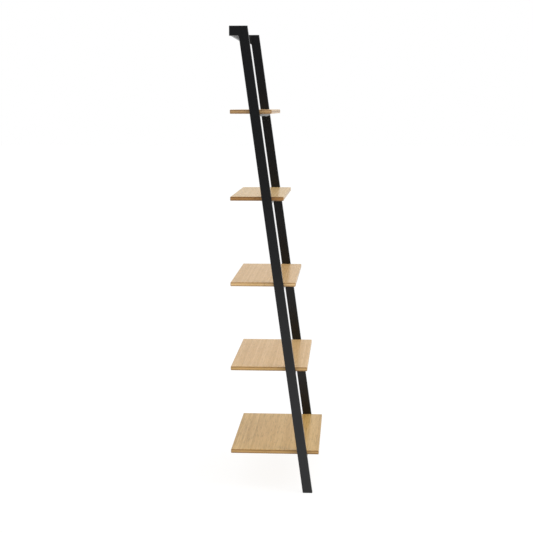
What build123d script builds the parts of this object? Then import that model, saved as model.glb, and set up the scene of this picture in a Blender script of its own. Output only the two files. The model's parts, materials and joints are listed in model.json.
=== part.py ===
from build123d import *
import math
import os

# A leaning ladder shelf: two leaning tube legs, each with a level arm back to the wall,
# a rail between the arms, and five boards on cross rungs. Sizes are in millimetres.
# The floor is Z = 0, the wall is the plane Y = wall_y and the front is -Y.
# A distance called "out" is measured from the wall towards the front.

# Overall
overall_width = 650.0
overall_height = 1830.0
arm_reach = 70.0             # wall to the front of the leg at its top

# Boards
board_count = 5
board_thickness = 16.0
lowest_board_top = 168.0
board_pitch = 336.0          # height from one board to the next
lowest_board_depth = 350.0
depth_step = 47.0            # each board is this much shallower than the one below
board_end_gap = 1.0          # between a board's end and the leg
board_edge_radius = 3.0

# Frame tube
tube_depth = 38.0
tube_thickness = 20.0
tube_wall = 1.5
tube_corner_radius = 2.5     # outside

# Rungs, rail and their end plates
rung_height = 10.0
rung_wall = 1.5
rung_corner_radius = 2.0     # outside
plate_thickness = 3.0
plate_width = 32.0
plate_length = 40.0
plate_corner_radius = 4.0
plate_screw_spacing = 18.0
plate_screw_inset = 28.0     # from the rung's far side to the line of screws
rail_wall_gap = 4.0

# Caps and pads
foot_cap_height = 9.0
foot_plug_top = 40.0
arm_cap_thickness = 3.0
arm_plug_end = 20.0
cap_edge_radius = 1.0        # round a cap's outer end
cap_seam = 0.5               # chamfer where a cap meets its tube
pad_radius = 12.0
pad_hole_radius = 3.5

# Fasteners
machine_screw_radius = 2.5   # M5
machine_screw_length = 12.0
machine_screw_clearance = 0.25
button_head_radius = 4.75
button_head_height = 2.6
button_head_edge_radius = 1.5
socket_radius = 1.7
socket_depth = 1.5
rivet_nut_radius = 3.5
rivet_nut_length = 11.0
rivet_bulge_radius = 4.9
rivet_bulge_length = 2.0
wood_screw_radius = 2.0
wood_screw_length = 22.0
wood_screw_clearance = 0.25
wood_screw_point_length = 4.0
wood_screw_tip_radius = 0.3
pan_head_radius = 4.0
pan_head_height = 2.4
pan_head_edge_radius = 1.2
cross_slot_length = 4.0
cross_slot_width = 0.8
cross_slot_depth = 0.6
board_screw_spread = 420.0   # along the rung
board_screw_spacing = 20.0   # across the rung
wall_hole_radius = 3.0
wall_hole_spacing = 406.0    # the pitch of wall studs
hole_cutter_length = 30.0    # longer than anything it goes through
parallel_cosine = 0.999      # past this, two directions count as parallel

# Worked out from the sizes above
wall_y = lowest_board_depth / 2
leg_outer_x = overall_width / 2
leg_inner_x = leg_outer_x - tube_thickness
plate_inner_x = leg_inner_x - plate_thickness
lean = depth_step / board_pitch
tube_level_depth = tube_depth * math.hypot(1, lean)
arm_bottom = overall_height - tube_depth
up_the_leg = Vector(0, lean, 1).normalized()
along_the_arm = Vector(0, 1, 0)
across_the_width = Vector(1, 0, 0)


def leg_front(height):
    """How far out the front face of the leg is at a height."""
    return arm_reach + (overall_height - height) * lean


def leg_centre(height):
    return leg_front(height) - tube_level_depth / 2


def on_mitre(share):
    """A point on the mitre between leg and arm, from its outer corner (0) to its inner corner (1)."""
    inner_out = leg_front(arm_bottom) - tube_level_depth
    return (arm_reach + share * (inner_out - arm_reach), overall_height - share * tube_depth)


def prism(outline, x_low, x_high):
    """A closed outline of (out, height) points, pulled from one X to another."""
    points = [Vector(x_low, wall_y - out, height) for out, height in outline]
    face = make_face(Polyline(*points, close=True))
    return extrude(face, x_high - x_low, dir=(1, 0, 0))


def leg_outline(inset, bottom, top=None):
    """The leg's side view, drawn in by an inset, down to a level cut."""
    level_inset = inset * math.hypot(1, lean)
    back = tube_level_depth - level_inset
    share = inset / tube_depth
    if top is None:
        upper = [on_mitre(share), on_mitre(1 - share)]
    else:
        upper = [(leg_front(top) - level_inset, top), (leg_front(top) - back, top)]
    return [(leg_front(bottom) - level_inset, bottom), *upper, (leg_front(bottom) - back, bottom)]


def arm_outline(inset, start, end=None):
    """The arm's side view, drawn in by an inset, from a cut at its wall end."""
    high, low = overall_height - inset, arm_bottom + inset
    share = inset / tube_depth
    if end is None:
        outer = [on_mitre(share), on_mitre(1 - share)]
    else:
        outer = [(end, high), (end, low)]
    return [(start, high), *outer, (start, low)]


def round_along(shape, direction, radius):
    """Rounds the edges of a shape that run one way."""
    edges = [edge for edge in shape.edges() if abs(edge.tangent_at(0.5).dot(direction)) > parallel_cosine]
    return fillet(edges, radius)


def tube_bar(outline, direction, inset=0.0):
    """A bar that fills the left-hand tube, or with the wall as inset, the space inside it."""
    bar = prism(outline, -leg_outer_x + inset, -leg_inner_x - inset)
    return round_along(bar, direction, tube_corner_radius - inset)


def tube_walls(outline, cut, direction):
    """The left-hand tube with a side view given as a function of inset and cut."""
    return tube_bar(outline(0, cut), direction) - tube_bar(outline(tube_wall, cut), direction, tube_wall)


def along_x(shape, x, out, height):
    """Turns a shape from +Z to -X, and sets it at a place."""
    return Pos(x, wall_y - out, height) * Rot(0, -90, 0) * shape


def from_base(radius, length, base=0.0):
    return Pos(0, 0, base) * Cylinder(radius, length, align=(Align.CENTER, Align.CENTER, Align.MIN))


def button_screw():
    """A machine screw whose head sits on Z = 0 and whose shank points up."""
    head = from_base(button_head_radius, button_head_height, -button_head_height)
    head = fillet(head.edges().sort_by(Axis.Z)[0], button_head_edge_radius)
    hexagon = Pos(0, 0, -button_head_height) * RegularPolygon(socket_radius, 6)
    screw = head + from_base(machine_screw_radius, machine_screw_length)
    return screw - extrude(hexagon, socket_depth, dir=(0, 0, 1))


def rivet_nut():
    """A flush threaded insert with its mouth at Z = 0, swollen behind the tube's wall."""
    body = from_base(rivet_nut_radius, rivet_nut_length)
    bulge = from_base(rivet_bulge_radius, rivet_bulge_length, tube_wall)
    return body + bulge - from_base(machine_screw_radius, rivet_nut_length)


def wood_screw():
    """A pan-head screw whose head sits on Z = 0 and whose pointed shank goes up."""
    straight = wood_screw_length - wood_screw_point_length
    head = from_base(pan_head_radius, pan_head_height, -pan_head_height)
    head = fillet(head.edges().sort_by(Axis.Z)[0], pan_head_edge_radius)
    point = Pos(0, 0, straight) * Cone(
        wood_screw_radius,
        wood_screw_tip_radius,
        wood_screw_point_length,
        align=(Align.CENTER, Align.CENTER, Align.MIN),
    )
    slot = Box(cross_slot_length, cross_slot_width, 2 * cross_slot_depth)
    cross = Pos(0, 0, -pan_head_height) * (slot + Rot(0, 0, 90) * slot)
    return head + from_base(wood_screw_radius, straight) + point - cross


def rail_screw_places():
    middle = overall_height - tube_depth / 2
    out = rail_wall_gap + plate_screw_inset
    return [(out, middle - plate_screw_spacing / 2), (out, middle + plate_screw_spacing / 2)]


def rung_screw_places(rung_top):
    height = rung_top - plate_screw_inset
    middle = leg_centre(height)
    return [(middle - plate_screw_spacing / 2, height), (middle + plate_screw_spacing / 2, height)]


def board_top(number):
    return lowest_board_top + (number - 1) * board_pitch


def rung_top(number):
    return board_top(number) - board_thickness


def rung_middle(number):
    """How far out the middle of a rung is, with its front flush with the legs."""
    return leg_front(rung_top(number) - rung_height / 2) - tube_depth / 2


def both_sides(shape):
    return [shape, mirror(shape, about=Plane.YZ)]


def leg():
    leg_tube = tube_walls(leg_outline, foot_cap_height, up_the_leg)
    for number in range(1, board_count + 1):
        for out, height in rung_screw_places(rung_top(number)):
            leg_tube -= along_x(from_base(rivet_nut_radius, tube_wall), -leg_inner_x, out, height)
    return leg_tube


def top_arm():
    arm_tube = tube_walls(arm_outline, arm_cap_thickness, along_the_arm)
    for out, height in rail_screw_places():
        arm_tube -= along_x(from_base(rivet_nut_radius, tube_wall), -leg_inner_x, out, height)
    return arm_tube


def cap_collar(collar, axis):
    """Eases a cap's collar: round at the end that sorts first along an axis, with a seam at the other."""
    collar = fillet(collar.faces().sort_by(axis)[0].edges(), cap_edge_radius)
    return chamfer(collar.faces().sort_by(axis)[-1].edges(), cap_seam)


def foot_cap():
    """A slanting collar that the leg stands on, with a plug up inside the tube."""
    collar = cap_collar(tube_bar(leg_outline(0, 0, foot_cap_height), up_the_leg), Axis.Z)
    return collar + tube_bar(leg_outline(tube_wall, foot_cap_height, foot_plug_top), up_the_leg, tube_wall)


def arm_cap():
    """A thin square end with a plug along inside the arm."""
    collar = cap_collar(tube_bar(arm_outline(0, 0, arm_cap_thickness), along_the_arm), -Axis.Y)
    plug_outline = arm_outline(tube_wall, arm_cap_thickness, arm_plug_end)
    return collar + tube_bar(plug_outline, along_the_arm, tube_wall)


def cross_tube(depth, height):
    """A tube that reaches from plate to plate."""
    length = 2 * plate_inner_x
    bar = round_along(Box(length, depth, height), across_the_width, rung_corner_radius)
    space = Box(length, depth - 2 * rung_wall, height - 2 * rung_wall)
    return bar - round_along(space, across_the_width, rung_corner_radius - rung_wall)


def board_screw_places(number):
    return [
        (x, rung_middle(number) + across)
        for x in (-board_screw_spread / 2, board_screw_spread / 2)
        for across in (-board_screw_spacing / 2, board_screw_spacing / 2)
    ]


def rung(number):
    tube = Pos(0, wall_y - rung_middle(number), rung_top(number) - rung_height / 2) * cross_tube(
        tube_depth, rung_height
    )
    hole = Cylinder(wood_screw_radius + wood_screw_clearance, hole_cutter_length)
    for x, out in board_screw_places(number):
        tube -= Pos(x, wall_y - out, rung_top(number)) * hole
    return tube


def wall_rail():
    middle = overall_height - tube_depth / 2
    tube = Pos(0, wall_y - rail_wall_gap - rung_height / 2, middle) * cross_tube(rung_height, tube_depth)
    hole = Rot(90, 0, 0) * Cylinder(wall_hole_radius, hole_cutter_length)
    for x in (-wall_hole_spacing / 2, wall_hole_spacing / 2):
        tube -= Pos(x, wall_y - rail_wall_gap, middle) * hole
    return tube


def end_plate(outline, screw_places):
    """A left-hand plate with clearance holes for its two screws."""
    plate = prism(outline, -leg_inner_x, -plate_inner_x)
    plate = round_along(plate, across_the_width, plate_corner_radius)
    hole = Cylinder(machine_screw_radius + machine_screw_clearance, hole_cutter_length)
    for out, height in screw_places:
        plate -= along_x(hole, -leg_inner_x, out, height)
    return plate


def rung_end_plate(number):
    top = rung_top(number)
    middle = leg_centre(top - plate_length / 2)
    near, far = middle - plate_width / 2, middle + plate_width / 2
    outline = [(near, top), (far, top), (far, top - plate_length), (near, top - plate_length)]
    return end_plate(outline, rung_screw_places(top))


def rail_end_plate():
    middle = overall_height - tube_depth / 2
    low, high = middle - plate_width / 2, middle + plate_width / 2
    near, far = rail_wall_gap, rail_wall_gap + plate_length
    return end_plate([(near, low), (far, low), (far, high), (near, high)], rail_screw_places())


def shelf_board(number):
    depth = lowest_board_depth - (number - 1) * depth_step
    length = 2 * (leg_inner_x - board_end_gap)
    board = fillet(Box(length, depth, board_thickness).edges(), board_edge_radius)
    board = Pos(0, wall_y - depth / 2, board_top(number) - board_thickness / 2) * board
    bite = wood_screw_length - rung_height
    for x, out in board_screw_places(number):
        board -= Pos(x, wall_y - out, rung_top(number)) * from_base(wood_screw_radius, bite)
    return board


def wall_pads():
    middle = overall_height - tube_depth / 2
    pad = Rot(90, 0, 0) * (from_base(pad_radius, rail_wall_gap) - from_base(pad_hole_radius, rail_wall_gap))
    return [Pos(x, wall_y, middle) * pad for x in (-wall_hole_spacing / 2, wall_hole_spacing / 2)]


numbers = range(1, board_count + 1)
left_and_right = {"leg": leg(), "top_arm": top_arm(), "foot_cap": foot_cap(), "arm_cap": arm_cap()}
rung_joints = [place for number in numbers for place in rung_screw_places(rung_top(number))]

nodes = {}
for name, left_shape in left_and_right.items():
    nodes[f"left_{name}"], nodes[f"right_{name}"] = both_sides(left_shape)
for number in numbers:
    nodes[f"rung_{number}"] = rung(number)
    nodes[f"shelf_board_{number}"] = shelf_board(number)
nodes["wall_rail"] = wall_rail()

groups = {
    "rung_end_plates": [side for number in numbers for side in both_sides(rung_end_plate(number))],
    "rail_end_plates": both_sides(rail_end_plate()),
    "wall_pads": wall_pads(),
    "board_screws": [
        Pos(x, wall_y - out, rung_top(number) - rung_height) * wood_screw()
        for number in numbers
        for x, out in board_screw_places(number)
    ],
}
for joint, places in {"rung": rung_joints, "rail": rail_screw_places()}.items():
    screws = [along_x(button_screw(), -plate_inner_x, out, height) for out, height in places]
    nuts = [along_x(rivet_nut(), -leg_inner_x, out, height) for out, height in places]
    groups[f"{joint}_screws"] = [side for screw in screws for side in both_sides(screw)]
    groups[f"{joint}_rivet_nuts"] = [side for nut in nuts for side in both_sides(nut)]
for name, pieces in groups.items():
    nodes[name] = Compound(children=pieces)

os.makedirs("parts", exist_ok=True)
for name, shape in nodes.items():
    export_step(shape, f"parts/{name}.step")
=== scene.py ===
import json
import math

import bmesh
import bpy
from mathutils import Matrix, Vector


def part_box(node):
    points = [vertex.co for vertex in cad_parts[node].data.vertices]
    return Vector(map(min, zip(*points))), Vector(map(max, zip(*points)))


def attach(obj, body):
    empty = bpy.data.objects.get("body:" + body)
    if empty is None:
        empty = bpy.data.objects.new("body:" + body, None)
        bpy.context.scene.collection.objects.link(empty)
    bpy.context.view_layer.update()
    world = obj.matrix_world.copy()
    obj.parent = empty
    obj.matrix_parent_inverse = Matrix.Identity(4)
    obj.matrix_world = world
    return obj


# The looks of a leaning ladder shelf, in metres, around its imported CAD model.
# The wall is on +Y, the front is -Y, and the camera stands off the -X side.

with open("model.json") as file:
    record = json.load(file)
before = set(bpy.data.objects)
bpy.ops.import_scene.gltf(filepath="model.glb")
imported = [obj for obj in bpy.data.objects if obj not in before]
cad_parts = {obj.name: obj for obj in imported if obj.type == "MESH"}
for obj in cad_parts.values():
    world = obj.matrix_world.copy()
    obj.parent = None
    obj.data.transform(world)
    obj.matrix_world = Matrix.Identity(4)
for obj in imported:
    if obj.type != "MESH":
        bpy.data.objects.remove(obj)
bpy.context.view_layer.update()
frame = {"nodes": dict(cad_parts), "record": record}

# Board build-up
BOARD_COUNT = 5
STRIP_WIDTH = 0.008          # the outer plies are strips on edge
CORE_STRIP_WIDTH = 0.020     # the middle ply's strips lie flat and crosswise
OUTER_PLY = 0.0042
GLUE_LINE = 0.00018          # between two strips
SEAM_LINE = 0.0003           # between two plies
KNUCKLE_PITCH = 0.24         # from one growth ring of the cane to the next

# Each board has a material of its own. Lowest first: how bold its grain is, and a tint of its own
# for its flat faces and for its cut ends.
BOLDNESS = (1.0, 0.45, 0.45, 0.55, 0.6)
FACE_TINTS = (
    (0.865, 0.845, 0.62),
    (1.0, 1.01, 1.02),
    (0.98, 0.97, 0.95),
    (0.99, 1.05, 1.08),
    (1.0, 1.0, 1.0),
)
END_TINTS = (
    (0.80, 0.73, 0.60),
    (0.94, 0.90, 0.81),
    (1.25, 1.29, 1.45),
    (0.68, 0.54, 0.44),
    (0.85, 0.81, 0.87),
)
# Painted sheen: makes the front and back edges of every board lighter and bluer, as a grazing
# reflection would.
FRONT_SHEEN_TINT = (1.03, 1.07, 1.14)   # of the front and back edges of every board

# Welds
WELD_SIZE = 0.0032           # the leg of the fillet
PLATE_WELD_REACH = 0.0135    # half of a weld's length, on an end plate
ARM_WELD_REACH = 0.0075      # and across an arm
POOL_PITCH = 0.55 * WELD_SIZE
RINGS_PER_POOL = 6
BEAD_SEGMENTS = 8
RIPPLE_DEPTH = 0.18

# Camera and light
CAMERA_PLACE = Vector((-5.2203, -0.2874, 1.5196))
CAMERA_DOWN = math.radians(7.130)         # how far it looks below the horizon
CAMERA_TO_WALL = math.radians(3.727)      # how far it turns from +X towards the wall
CAMERA_LENS = 85.77
DIM_SIDE = 0.18              # strengths of the dome
BRIGHT_SIDE = 0.88
OVERHEAD = 1.4
SOFTBOX_POWER = 80.0
SOFTBOX_WIDTH = 3.0
SOFTBOX_PLACE = Vector((-1.6, -3.4, 4.4))
SOFTBOX_AIM = Vector((0.0, 0.0, 0.9))
FLOOR_LOW = (-5.5, -25.0)    # the studio floor ends behind the camera
FLOOR_HIGH = (45.0, 25.0)

BAMBOO_TONES = [
    (0.0, (0.605, 0.380, 0.142)),
    (0.35, (0.665, 0.428, 0.182)),
    (0.65, (0.702, 0.460, 0.210)),
    (1.0, (0.745, 0.502, 0.246)),
]
FIBRE_STAIN = [
    (0.25, (0.86, 0.84, 0.71)),
    (0.75, (1.11, 1.12, 1.20)),
]
DASH_STAIN = [
    (0.33, (0.70, 0.68, 0.46)),
    (0.41, (0.93, 0.925, 0.86)),
    (0.65, (1.05, 1.05, 1.10)),
]
END_GRAIN_TONES = [
    (0.0, (0.260, 0.130, 0.045)),
    (1.0, (0.460, 0.270, 0.110)),
]
# Dark brown for the rounded board edges: partly stain soaked into them, and partly painted shade
# on the edges that face down.
KNUCKLE_COLOUR = (0.360, 0.190, 0.070, 1.0)
SOAK_AND_SHADE_COLOUR = (0.330, 0.170, 0.062, 1.0)
WHITE = (1.0, 1.0, 1.0, 1.0)
COAT_TONES = [
    (0.3, (0.0038, 0.0041, 0.0048)),
    (0.7, (0.0062, 0.0067, 0.0078)),
]
PLASTIC_TONES = [
    (0.3, (0.0075, 0.0075, 0.0076)),
    (0.7, (0.013, 0.013, 0.0135)),
]
RUBBER_TONES = [
    (0.3, (0.022, 0.022, 0.022)),
    (0.75, (0.040, 0.039, 0.038)),
]
OXIDE_TONES = [
    (0.3, (0.018, 0.018, 0.019)),
    (0.75, (0.045, 0.043, 0.042)),
]
ZINC_TONES = [
    (0.3, (0.56, 0.58, 0.62)),
    (0.55, (0.66, 0.66, 0.66)),
    (0.8, (0.70, 0.67, 0.58)),
]
FLOOR_TONES = [
    (0.3, (0.145, 0.145, 0.145)),
    (0.7, (0.155, 0.155, 0.155)),
]


class Shader:
    """A material's node tree, with short ways to add nodes and maths."""

    def __init__(self, name):
        self.material = bpy.data.materials.new(name)
        self.material.use_nodes = True
        self.tree = self.material.node_tree
        self.tree.nodes.clear()
        self.surface = self.node("ShaderNodeBsdfPrincipled")
        output = self.node("ShaderNodeOutputMaterial")
        self.tree.links.new(self.surface.outputs[0], output.inputs["Surface"])

    def node(self, kind, inputs=None, **settings):
        made = self.tree.nodes.new(kind)
        for key, value in settings.items():
            setattr(made, key, value)
        for key, value in (inputs or {}).items():
            self.feed(made.inputs[key], value)
        return made

    def feed(self, socket, value):
        if isinstance(value, bpy.types.NodeSocket):
            self.tree.links.new(value, socket)
        else:
            socket.default_value = value

    def set(self, **values):
        """Sets sockets of the surface, with _ for a space in their names."""
        for key, value in values.items():
            self.feed(self.surface.inputs[key.replace("_", " ")], value)

    def math(self, operation, a, b=0.0, c=0.0):
        return self.node("ShaderNodeMath", {0: a, 1: b, 2: c}, operation=operation).outputs[0]

    def vector(self, x=0.0, y=0.0, z=0.0):
        return self.node("ShaderNodeCombineXYZ", {"X": x, "Y": y, "Z": z}).outputs[0]

    def axes(self, source):
        return self.node("ShaderNodeSeparateXYZ", {0: source}).outputs

    def point(self):
        """The shaded point's place in the row frame."""
        return self.node("ShaderNodeTexCoord").outputs["Object"]

    def facing(self):
        """How far the surface faces along X, Y and Z."""
        return self.axes(self.node("ShaderNodeNewGeometry").outputs["Normal"])

    def noise(self, vector, scale=1.0, detail=2.0, roughness=0.5):
        values = {"Vector": vector, "Scale": scale, "Detail": detail, "Roughness": roughness}
        return self.node("ShaderNodeTexNoise", values).outputs["Fac"]

    def random(self, a, b):
        """A random number from 0 to 1 for each pair of whole numbers."""
        values = {"Vector": self.vector(a, b, 0.5)}
        made = self.node("ShaderNodeTexWhiteNoise", values, noise_dimensions="3D")
        return made.outputs["Value"]

    def ramp(self, value, stops):
        made = self.node("ShaderNodeValToRGB", {"Fac": value})
        elements = made.color_ramp.elements
        while len(elements) < len(stops):
            elements.new(0.5)
        for element, (position, colour) in zip(elements, stops):
            element.position = position
            element.color = (*colour, 1.0)
        return made.outputs["Color"]

    def span(self, value, low, high, to_low=0.0, to_high=1.0, smooth=False):
        """Carries a value from one span of numbers to another, and holds it at the ends."""
        kind = "SMOOTHSTEP" if smooth else "LINEAR"
        made = self.node("ShaderNodeMapRange", {"Value": value}, interpolation_type=kind)
        self.feed(made.inputs["From Min"], low)
        self.feed(made.inputs["From Max"], high)
        self.feed(made.inputs["To Min"], to_low)
        self.feed(made.inputs["To Max"], to_high)
        return made.outputs["Result"]

    def blend(self, share, a, b):
        """Colour a where the share is 0, and colour b where it is 1."""
        made = self.node("ShaderNodeMix", data_type="RGBA")
        self.feed(made.inputs[0], share)
        self.feed(made.inputs[6], a)
        self.feed(made.inputs[7], b)
        return made.outputs[2]

    def tint(self, colour, factor):
        """A colour times a number."""
        made = self.node("ShaderNodeVectorMath", {0: colour, 3: factor}, operation="SCALE")
        return made.outputs[0]

    def stain(self, colour, other):
        """A colour times another."""
        made = self.node("ShaderNodeVectorMath", {0: colour, 1: other}, operation="MULTIPLY")
        return made.outputs[0]

    def bump(self, height, distance, strength=1.0):
        values = {"Height": height, "Distance": distance, "Strength": strength}
        self.set(Normal=self.node("ShaderNodeBump", values).outputs["Normal"])


def long_grain(shader, along, across, through, width, seed, boldness):
    """Bamboo strips seen from the side: a tone for each, with fibres, knuckles and glue lines."""
    drift = shader.noise(shader.vector(across, seed * 0.37, 0.0), scale=45.0, detail=1.0)
    count = shader.math("DIVIDE", shader.math("ADD", across, 5.0 + 0.0037 * seed), width)
    count = shader.math("MULTIPLY_ADD", drift, 0.9, count)
    strip = shader.math("FLOOR", count)
    inside = shader.math("FRACT", count)
    tone = shader.random(strip, float(seed))
    shift = shader.random(strip, seed + 40.0)
    strength = shader.random(strip, seed + 90.0)

    def drawn_out(lengthwise, crosswise, offset=0.0):
        """A place for noise drawn out along the strips, offset by each strip's own amount."""
        return shader.vector(
            shader.math("MULTIPLY_ADD", shift, offset, shader.math("MULTIPLY", along, lengthwise)),
            shader.math("MULTIPLY", across, crosswise),
            shader.math("MULTIPLY", through, crosswise),
        )

    fibres = shader.noise(drawn_out(11.0, 900.0), detail=5.0, roughness=0.62)
    streaks = shader.noise(drawn_out(3.5, 420.0, 9.0), detail=3.0)
    dashes = shader.noise(drawn_out(14.0, 230.0, 5.0), detail=2.0)

    spread = 0.45 + 0.55 * boldness
    tone = shader.math("MULTIPLY_ADD", tone, spread, (1 - spread) / 2)
    mixed = shader.math("MULTIPLY_ADD", shader.math("SUBTRACT", streaks, 0.5), 0.9, tone)
    colour = shader.ramp(mixed, BAMBOO_TONES)
    colour = shader.stain(colour, shader.ramp(fibres, FIBRE_STAIN))
    dashed = shader.blend(boldness, WHITE, shader.ramp(dashes, DASH_STAIN))
    colour = shader.stain(colour, dashed)

    cane = shader.math("DIVIDE", along, KNUCKLE_PITCH)
    cane = shader.math("ADD", cane, shader.math("MULTIPLY", shift, 7.0))
    from_knuckle = shader.math("MULTIPLY", shader.math("PINGPONG", cane, 0.5), KNUCKLE_PITCH)
    ragged = shader.math("MULTIPLY_ADD", fibres, 0.004, from_knuckle)
    knuckle = shader.span(ragged, 0.0025, 0.0055, 1.0, 0.0, smooth=True)
    halo = shader.span(ragged, 0.004, 0.024, 1.0, 0.0, smooth=True)
    mark = shader.math("MULTIPLY", knuckle, shader.math("MULTIPLY_ADD", strength, 0.8, 0.2))
    colour = shader.tint(colour, shader.math("MULTIPLY_ADD", halo, -0.05, 1.0))
    colour = shader.blend(shader.math("MULTIPLY", mark, 0.42), colour, KNUCKLE_COLOUR)

    edge = shader.math("MULTIPLY", shader.math("PINGPONG", inside, 0.5), width)
    glue = shader.span(edge, GLUE_LINE * 0.4, GLUE_LINE, 1.0, 0.0, smooth=True)
    colour = shader.tint(colour, shader.math("MULTIPLY_ADD", glue, -0.30, 1.0))
    return colour, fibres, glue


def end_grain(shader, sideways, upward, seed):
    """The cut ends of the strips: brown, with dark fibre bundles, and a tone for each strip."""
    vector = shader.vector(sideways, upward, float(seed))
    cells = shader.node("ShaderNodeTexVoronoi", {"Vector": vector, "Scale": 1150.0})
    bundles = shader.span(cells.outputs["Distance"], 0.12, 0.5)
    blotches = shader.noise(vector, scale=60.0, detail=3.0)
    strip = shader.math("FLOOR", shader.math("DIVIDE", sideways, STRIP_WIDTH))
    tone = shader.math("MULTIPLY_ADD", shader.random(strip, seed + 80.0), 0.5, -0.25)
    value = shader.math("MULTIPLY_ADD", bundles, 0.5, shader.math("ADD", blotches, tone))
    return shader.ramp(shader.math("MULTIPLY", value, 0.75), END_GRAIN_TONES)


def bamboo(number):
    """One board's bamboo: outer plies along X, a middle ply along Y, under a satin lacquer."""
    shader = Shader(f"bamboo_{number}")
    low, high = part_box(f"shelf_board_{number}")
    x, y, z = shader.axes(shader.point())
    facing = shader.facing()
    face_x, face_y, face_z = (shader.math("ABSOLUTE", part) for part in facing)
    seed = 11 * number
    boldness = BOLDNESS[number - 1]

    top, fibres, glue = long_grain(shader, x, y, z, STRIP_WIDTH, seed, boldness)
    top = shader.stain(top, FACE_TINTS[number - 1])
    core, _, _ = long_grain(shader, y, x, z, CORE_STRIP_WIDTH, seed + 5, boldness)
    cut_x = end_grain(shader, y, z, seed)
    cut_y = end_grain(shader, x, z, seed + 3)

    below_top = shader.math("SUBTRACT", high.z, z)
    above_bottom = shader.math("SUBTRACT", z, low.z)
    from_skin = shader.math("MINIMUM", below_top, above_bottom)
    wander = shader.noise(shader.vector(x, y, 0.0), scale=30.0)
    ply = shader.math("MULTIPLY_ADD", wander, 0.0006, OUTER_PLY - 0.0003)
    in_core = shader.math("GREATER_THAN", from_skin, ply)
    on_end = shader.span(face_x, 0.45, 0.75, smooth=True)
    on_front = shader.span(face_y, 0.45, 0.75, smooth=True)

    end = shader.stain(shader.blend(in_core, cut_x, core), END_TINTS[number - 1])
    # The front and back edges take a painted sheen that makes them lighter and bluer.
    front = shader.stain(shader.blend(in_core, top, cut_y), FRONT_SHEEN_TINT)
    colour = shader.blend(on_end, top, end)
    colour = shader.blend(on_front, colour, front)
    line = shader.math("ABSOLUTE", shader.math("SUBTRACT", from_skin, ply))
    seam = shader.span(line, SEAM_LINE / 3, SEAM_LINE, 1.0, 0.0)
    seam = shader.math("MULTIPLY", seam, shader.math("MAXIMUM", on_end, on_front))
    colour = shader.tint(colour, shader.math("MULTIPLY_ADD", seam, -0.35, 1.0))

    # The rounded edges of each board are darkened: partly stain soaked into them, and partly
    # painted shade, which makes the edges that face down darker still.
    sideways = shader.math("MAXIMUM", face_x, face_y)
    off_side = shader.span(sideways, 0.86, 0.995, 1.0, 0.0, smooth=True)
    off_top = shader.span(face_z, 0.72, 0.93, 1.0, 0.0, smooth=True)
    # Stronger on edges that face down than on edges that face up: this extra darkening is painted
    # shade.
    soak_with_underside_shade = shader.span(facing[2], -0.5, 0.1, 0.75, 0.40)
    soak_and_shade = shader.math("MULTIPLY", shader.math("MULTIPLY", off_side, off_top), soak_with_underside_shade)
    colour = shader.blend(soak_and_shade, colour, SOAK_AND_SHADE_COLOUR)

    shader.set(
        Base_Color=colour,
        Roughness=shader.span(fibres, 0.2, 0.8, 0.42, 0.52),
        IOR=1.45,
        Coat_Weight=0.45,
        Coat_Roughness=0.18,
        Coat_IOR=1.5,
        Specular_IOR_Level=0.15,
    )
    relief = shader.math("MULTIPLY_ADD", glue, -0.6, fibres)
    shader.bump(relief, 0.00006, 0.5)
    return shader.material


def powder_coat():
    """Satin black powder coat: fine orange peel, a slight speckle and uneven gloss."""
    shader = Shader("powder_coat")
    place = shader.point()
    peel = shader.noise(place, scale=620.0, detail=2.0)
    grit = shader.noise(place, scale=2600.0, detail=1.0)
    cloud = shader.noise(place, scale=9.0, detail=3.0)
    tone = shader.math("MULTIPLY_ADD", grit, 0.5, shader.math("MULTIPLY", cloud, 0.5))
    gloss = shader.math("MULTIPLY_ADD", shader.math("SUBTRACT", peel, 0.5), 0.10, 0.31)
    shader.set(Base_Color=shader.ramp(tone, COAT_TONES), Roughness=gloss, IOR=1.45)
    shader.bump(shader.math("MULTIPLY_ADD", grit, 0.25, peel), 0.00008, 0.3)
    return shader.material


def even_finish(name, tones, texture, matt, relief, **sockets):
    """A finish whose colour, roughness and relief all follow one fine noise."""
    scale, detail, roughness = texture
    shader = Shader(name)
    grain = shader.noise(shader.point(), scale, detail, roughness)
    gloss = shader.span(grain, 0.3, 0.7, *matt)
    shader.set(Base_Color=shader.ramp(grain, tones), Roughness=gloss, **sockets)
    shader.bump(grain, *relief)
    return shader.material


def moulded_plastic():
    """Matt black injection-moulded plastic with a spark-eroded texture."""
    return even_finish(
        "moulded_plastic",
        PLASTIC_TONES,
        texture=(1500.0, 3.0, 0.7),
        matt=(0.5, 0.66),
        relief=(0.0001, 0.5),
        IOR=1.47,
    )


def pad_rubber():
    return even_finish(
        "pad_rubber",
        RUBBER_TONES,
        texture=(900.0, 4.0, 0.7),
        matt=(0.78, 0.92),
        relief=(0.0002, 0.5),
    )


def black_oxide():
    return even_finish(
        "black_oxide",
        OXIDE_TONES,
        texture=(1800.0, 3.0, 0.5),
        matt=(0.34, 0.5),
        relief=(0.00003, 0.4),
        Metallic=0.7,
    )


def zinc_plate():
    """Bright zinc plate with a faint blue and straw bloom."""
    shader = Shader("zinc_plate")
    place = shader.point()
    bloom = shader.noise(place, scale=240.0, detail=3.0)
    fine = shader.noise(place, scale=3000.0, detail=2.0)
    gloss = shader.span(fine, 0.3, 0.7, 0.26, 0.42)
    shader.set(Base_Color=shader.ramp(bloom, ZINC_TONES), Metallic=1.0, Roughness=gloss)
    shader.bump(fine, 0.00003, 0.4)
    return shader.material


def give(node, material):
    """Puts one material in every slot of a CAD node."""
    slots = frame["nodes"][node].data.materials
    for index in range(len(slots)):
        slots[index] = material


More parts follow.
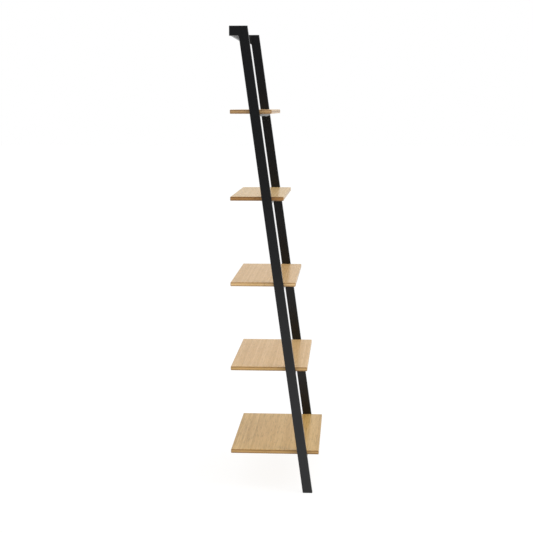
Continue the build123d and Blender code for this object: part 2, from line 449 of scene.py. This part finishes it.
def dress_cad(coat):
    """Gives every CAD node the finish of its slot in the record."""
    finishes = {
        "black_frame": coat,
        "black_plastic": moulded_plastic(),
        "rubber": pad_rubber(),
        "black_screws": black_oxide(),
        "zinc_steel": zinc_plate(),
    }
    for part in frame["record"]["subparts"]:
        node, slot = part["node"], part["material_slot"]
        if slot == "bamboo":
            give(node, bamboo(int(node.rsplit("_", 1)[1])))
        else:
            give(node, finishes[slot])


def weld_bead(name, middle, reach, side_a, side_b, coat):
    """A fillet weld along an inside corner, with the ripples of its separate pools."""
    start = middle - reach
    along = reach * 2
    pools = round(along.length / POOL_PITCH)
    rings = pools * RINGS_PER_POOL
    mesh = bmesh.new()
    rows = []
    for ring in range(rings + 1):
        share = ring / rings
        ripple = abs(math.sin(math.pi * share * pools))
        swell = 1 - RIPPLE_DEPTH + RIPPLE_DEPTH * ripple
        taper = min(1.0, share * rings / 4, (1 - share) * rings / 4)
        leg = WELD_SIZE * swell * (0.35 + 0.65 * taper)
        row = []
        for segment in range(BEAD_SEGMENTS + 1):
            turn = math.pi / 2 * segment / BEAD_SEGMENTS
            bulge = 1.0 - 0.12 * math.sin(2 * turn)
            offset = (side_a * math.cos(turn) + side_b * math.sin(turn)) * leg * bulge
            row.append(mesh.verts.new(start + along * share + offset))
        row.append(mesh.verts.new(start + along * share))
        rows.append(row)
    for first, second in zip(rows, rows[1:]):
        for index in range(len(first)):
            following = (index + 1) % len(first)
            mesh.faces.new((first[index], first[following], second[following], second[index]))
    mesh.faces.new(rows[0][::-1])
    mesh.faces.new(rows[-1])
    bmesh.ops.recalc_face_normals(mesh, faces=mesh.faces)
    data = bpy.data.meshes.new(name)
    mesh.to_mesh(data)
    mesh.free()
    for polygon in data.polygons:
        polygon.use_smooth = True
    data.materials.append(coat)
    bead = bpy.data.objects.new(name, data)
    bpy.context.scene.collection.objects.link(bead)
    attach(bead, "root")


def weld_frame(coat):
    """Welds under the ends of each rung, in front of the rail's ends, and under each arm."""
    lower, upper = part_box("shelf_board_1")[0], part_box("shelf_board_2")[0]
    down_the_leg = (lower - upper) * Vector((0, 1, 1))
    down_the_leg.normalize()
    down, forward, back = Vector((0, 0, -1)), Vector((0, -1, 0)), Vector((0, 1, 0))
    for side, sign in (("left", -1), ("right", 1)):
        inward = Vector((-sign, 0, 0))
        for number in range(1, BOARD_COUNT + 1):
            low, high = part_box(f"rung_{number}")
            corner = Vector((high.x * sign, (low.y + high.y) / 2, low.z))
            reach = forward * PLATE_WELD_REACH
            weld_bead(f"rung_weld_{side}_{number}", corner, reach, inward, down, coat)
        low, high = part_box("wall_rail")
        corner = Vector((high.x * sign, low.y, (low.z + high.z) / 2))
        weld_bead(f"rail_weld_{side}", corner, down * PLATE_WELD_REACH, inward, forward, coat)
        low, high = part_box(f"{side}_top_arm")
        leg_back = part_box(f"{side}_leg")[1].y
        corner = Vector(((low.x + high.x) / 2, leg_back, low.z))
        weld_bead(f"arm_weld_{side}", corner, inward * ARM_WELD_REACH, back, down_the_leg, coat)


def pale_floor():
    """A white floor that gives most of its own light, so that the shadow on it stays faint."""
    shader = Shader("pale_floor")
    tone = shader.noise(shader.point(), scale=1.5, detail=3.0)
    shader.set(
        Base_Color=shader.ramp(tone, FLOOR_TONES),
        Roughness=0.9,
        Specular_IOR_Level=0.0,
        Emission_Color=WHITE,
        Emission_Strength=0.88,
    )
    low, high = Vector((*FLOOR_LOW, 0.0)), Vector((*FLOOR_HIGH, 0.0))
    corners = [low, (high.x, low.y, 0.0), high, (low.x, high.y, 0.0)]
    data = bpy.data.meshes.new("floor")
    data.from_pydata(corners, [], [(0, 1, 2, 3)])
    data.materials.append(shader.material)
    floor = bpy.data.objects.new("floor", data)
    bpy.context.scene.collection.objects.link(floor)


def studio_light():
    """A soft dome, dim on the -X side, and one softbox. Seen directly, the dome is plain white."""
    world = bpy.data.worlds.new("studio")
    bpy.context.scene.world = world
    world.use_nodes = True
    nodes, links = world.node_tree.nodes, world.node_tree.links
    nodes.clear()
    direction = nodes.new("ShaderNodeTexCoord")
    parts = nodes.new("ShaderNodeSeparateXYZ")
    links.new(direction.outputs["Generated"], parts.inputs[0])

    def ramp(axis, values):
        made = nodes.new("ShaderNodeMapRange")
        made.interpolation_type = "SMOOTHSTEP"
        for key, value in zip(("From Min", "From Max", "To Min", "To Max"), values):
            made.inputs[key].default_value = value
        links.new(parts.outputs[axis], made.inputs["Value"])
        return made

    beyond = ramp("X", (-0.6, 0.7, DIM_SIDE, BRIGHT_SIDE))
    overhead = ramp("Z", (0.05, 0.75, 0.0, 1.0))
    level = nodes.new("ShaderNodeMix")
    level.inputs[3].default_value = OVERHEAD
    links.new(overhead.outputs["Result"], level.inputs[0])
    links.new(beyond.outputs["Result"], level.inputs[2])
    dome = nodes.new("ShaderNodeBackground")
    links.new(level.outputs[0], dome.inputs["Strength"])
    plain = nodes.new("ShaderNodeBackground")
    plain.inputs["Color"].default_value = WHITE
    path = nodes.new("ShaderNodeLightPath")
    mix = nodes.new("ShaderNodeMixShader")
    output = nodes.new("ShaderNodeOutputWorld")
    links.new(path.outputs["Is Camera Ray"], mix.inputs["Fac"])
    links.new(dome.outputs[0], mix.inputs[1])
    links.new(plain.outputs[0], mix.inputs[2])
    links.new(mix.outputs[0], output.inputs["Surface"])

    softbox = bpy.data.lights.new("softbox", "AREA")
    softbox.shape = "DISK"
    softbox.size = SOFTBOX_WIDTH
    softbox.energy = SOFTBOX_POWER
    lamp = bpy.data.objects.new("softbox", softbox)
    lamp.location = SOFTBOX_PLACE
    lamp.rotation_euler = (SOFTBOX_AIM - SOFTBOX_PLACE).to_track_quat("-Z", "Y").to_euler()
    bpy.context.scene.collection.objects.link(lamp)


def camera():
    """Stands off the -X side, in front of the shelf, and looks a little down at it."""
    data = bpy.data.cameras.new("camera")
    data.sensor_width = 36.0
    data.lens = CAMERA_LENS
    data.clip_end = 200.0
    view = bpy.data.objects.new("camera", data)
    view.location = CAMERA_PLACE
    view.rotation_euler = (math.pi / 2 - CAMERA_DOWN, 0.0, CAMERA_TO_WALL - math.pi / 2)
    bpy.context.scene.collection.objects.link(view)
    bpy.context.scene.camera = view


camera()
studio_light()
pale_floor()
frame_coat = powder_coat()
dress_cad(frame_coat)
weld_frame(frame_coat)
bpy.context.scene.view_settings.view_transform = "Standard"
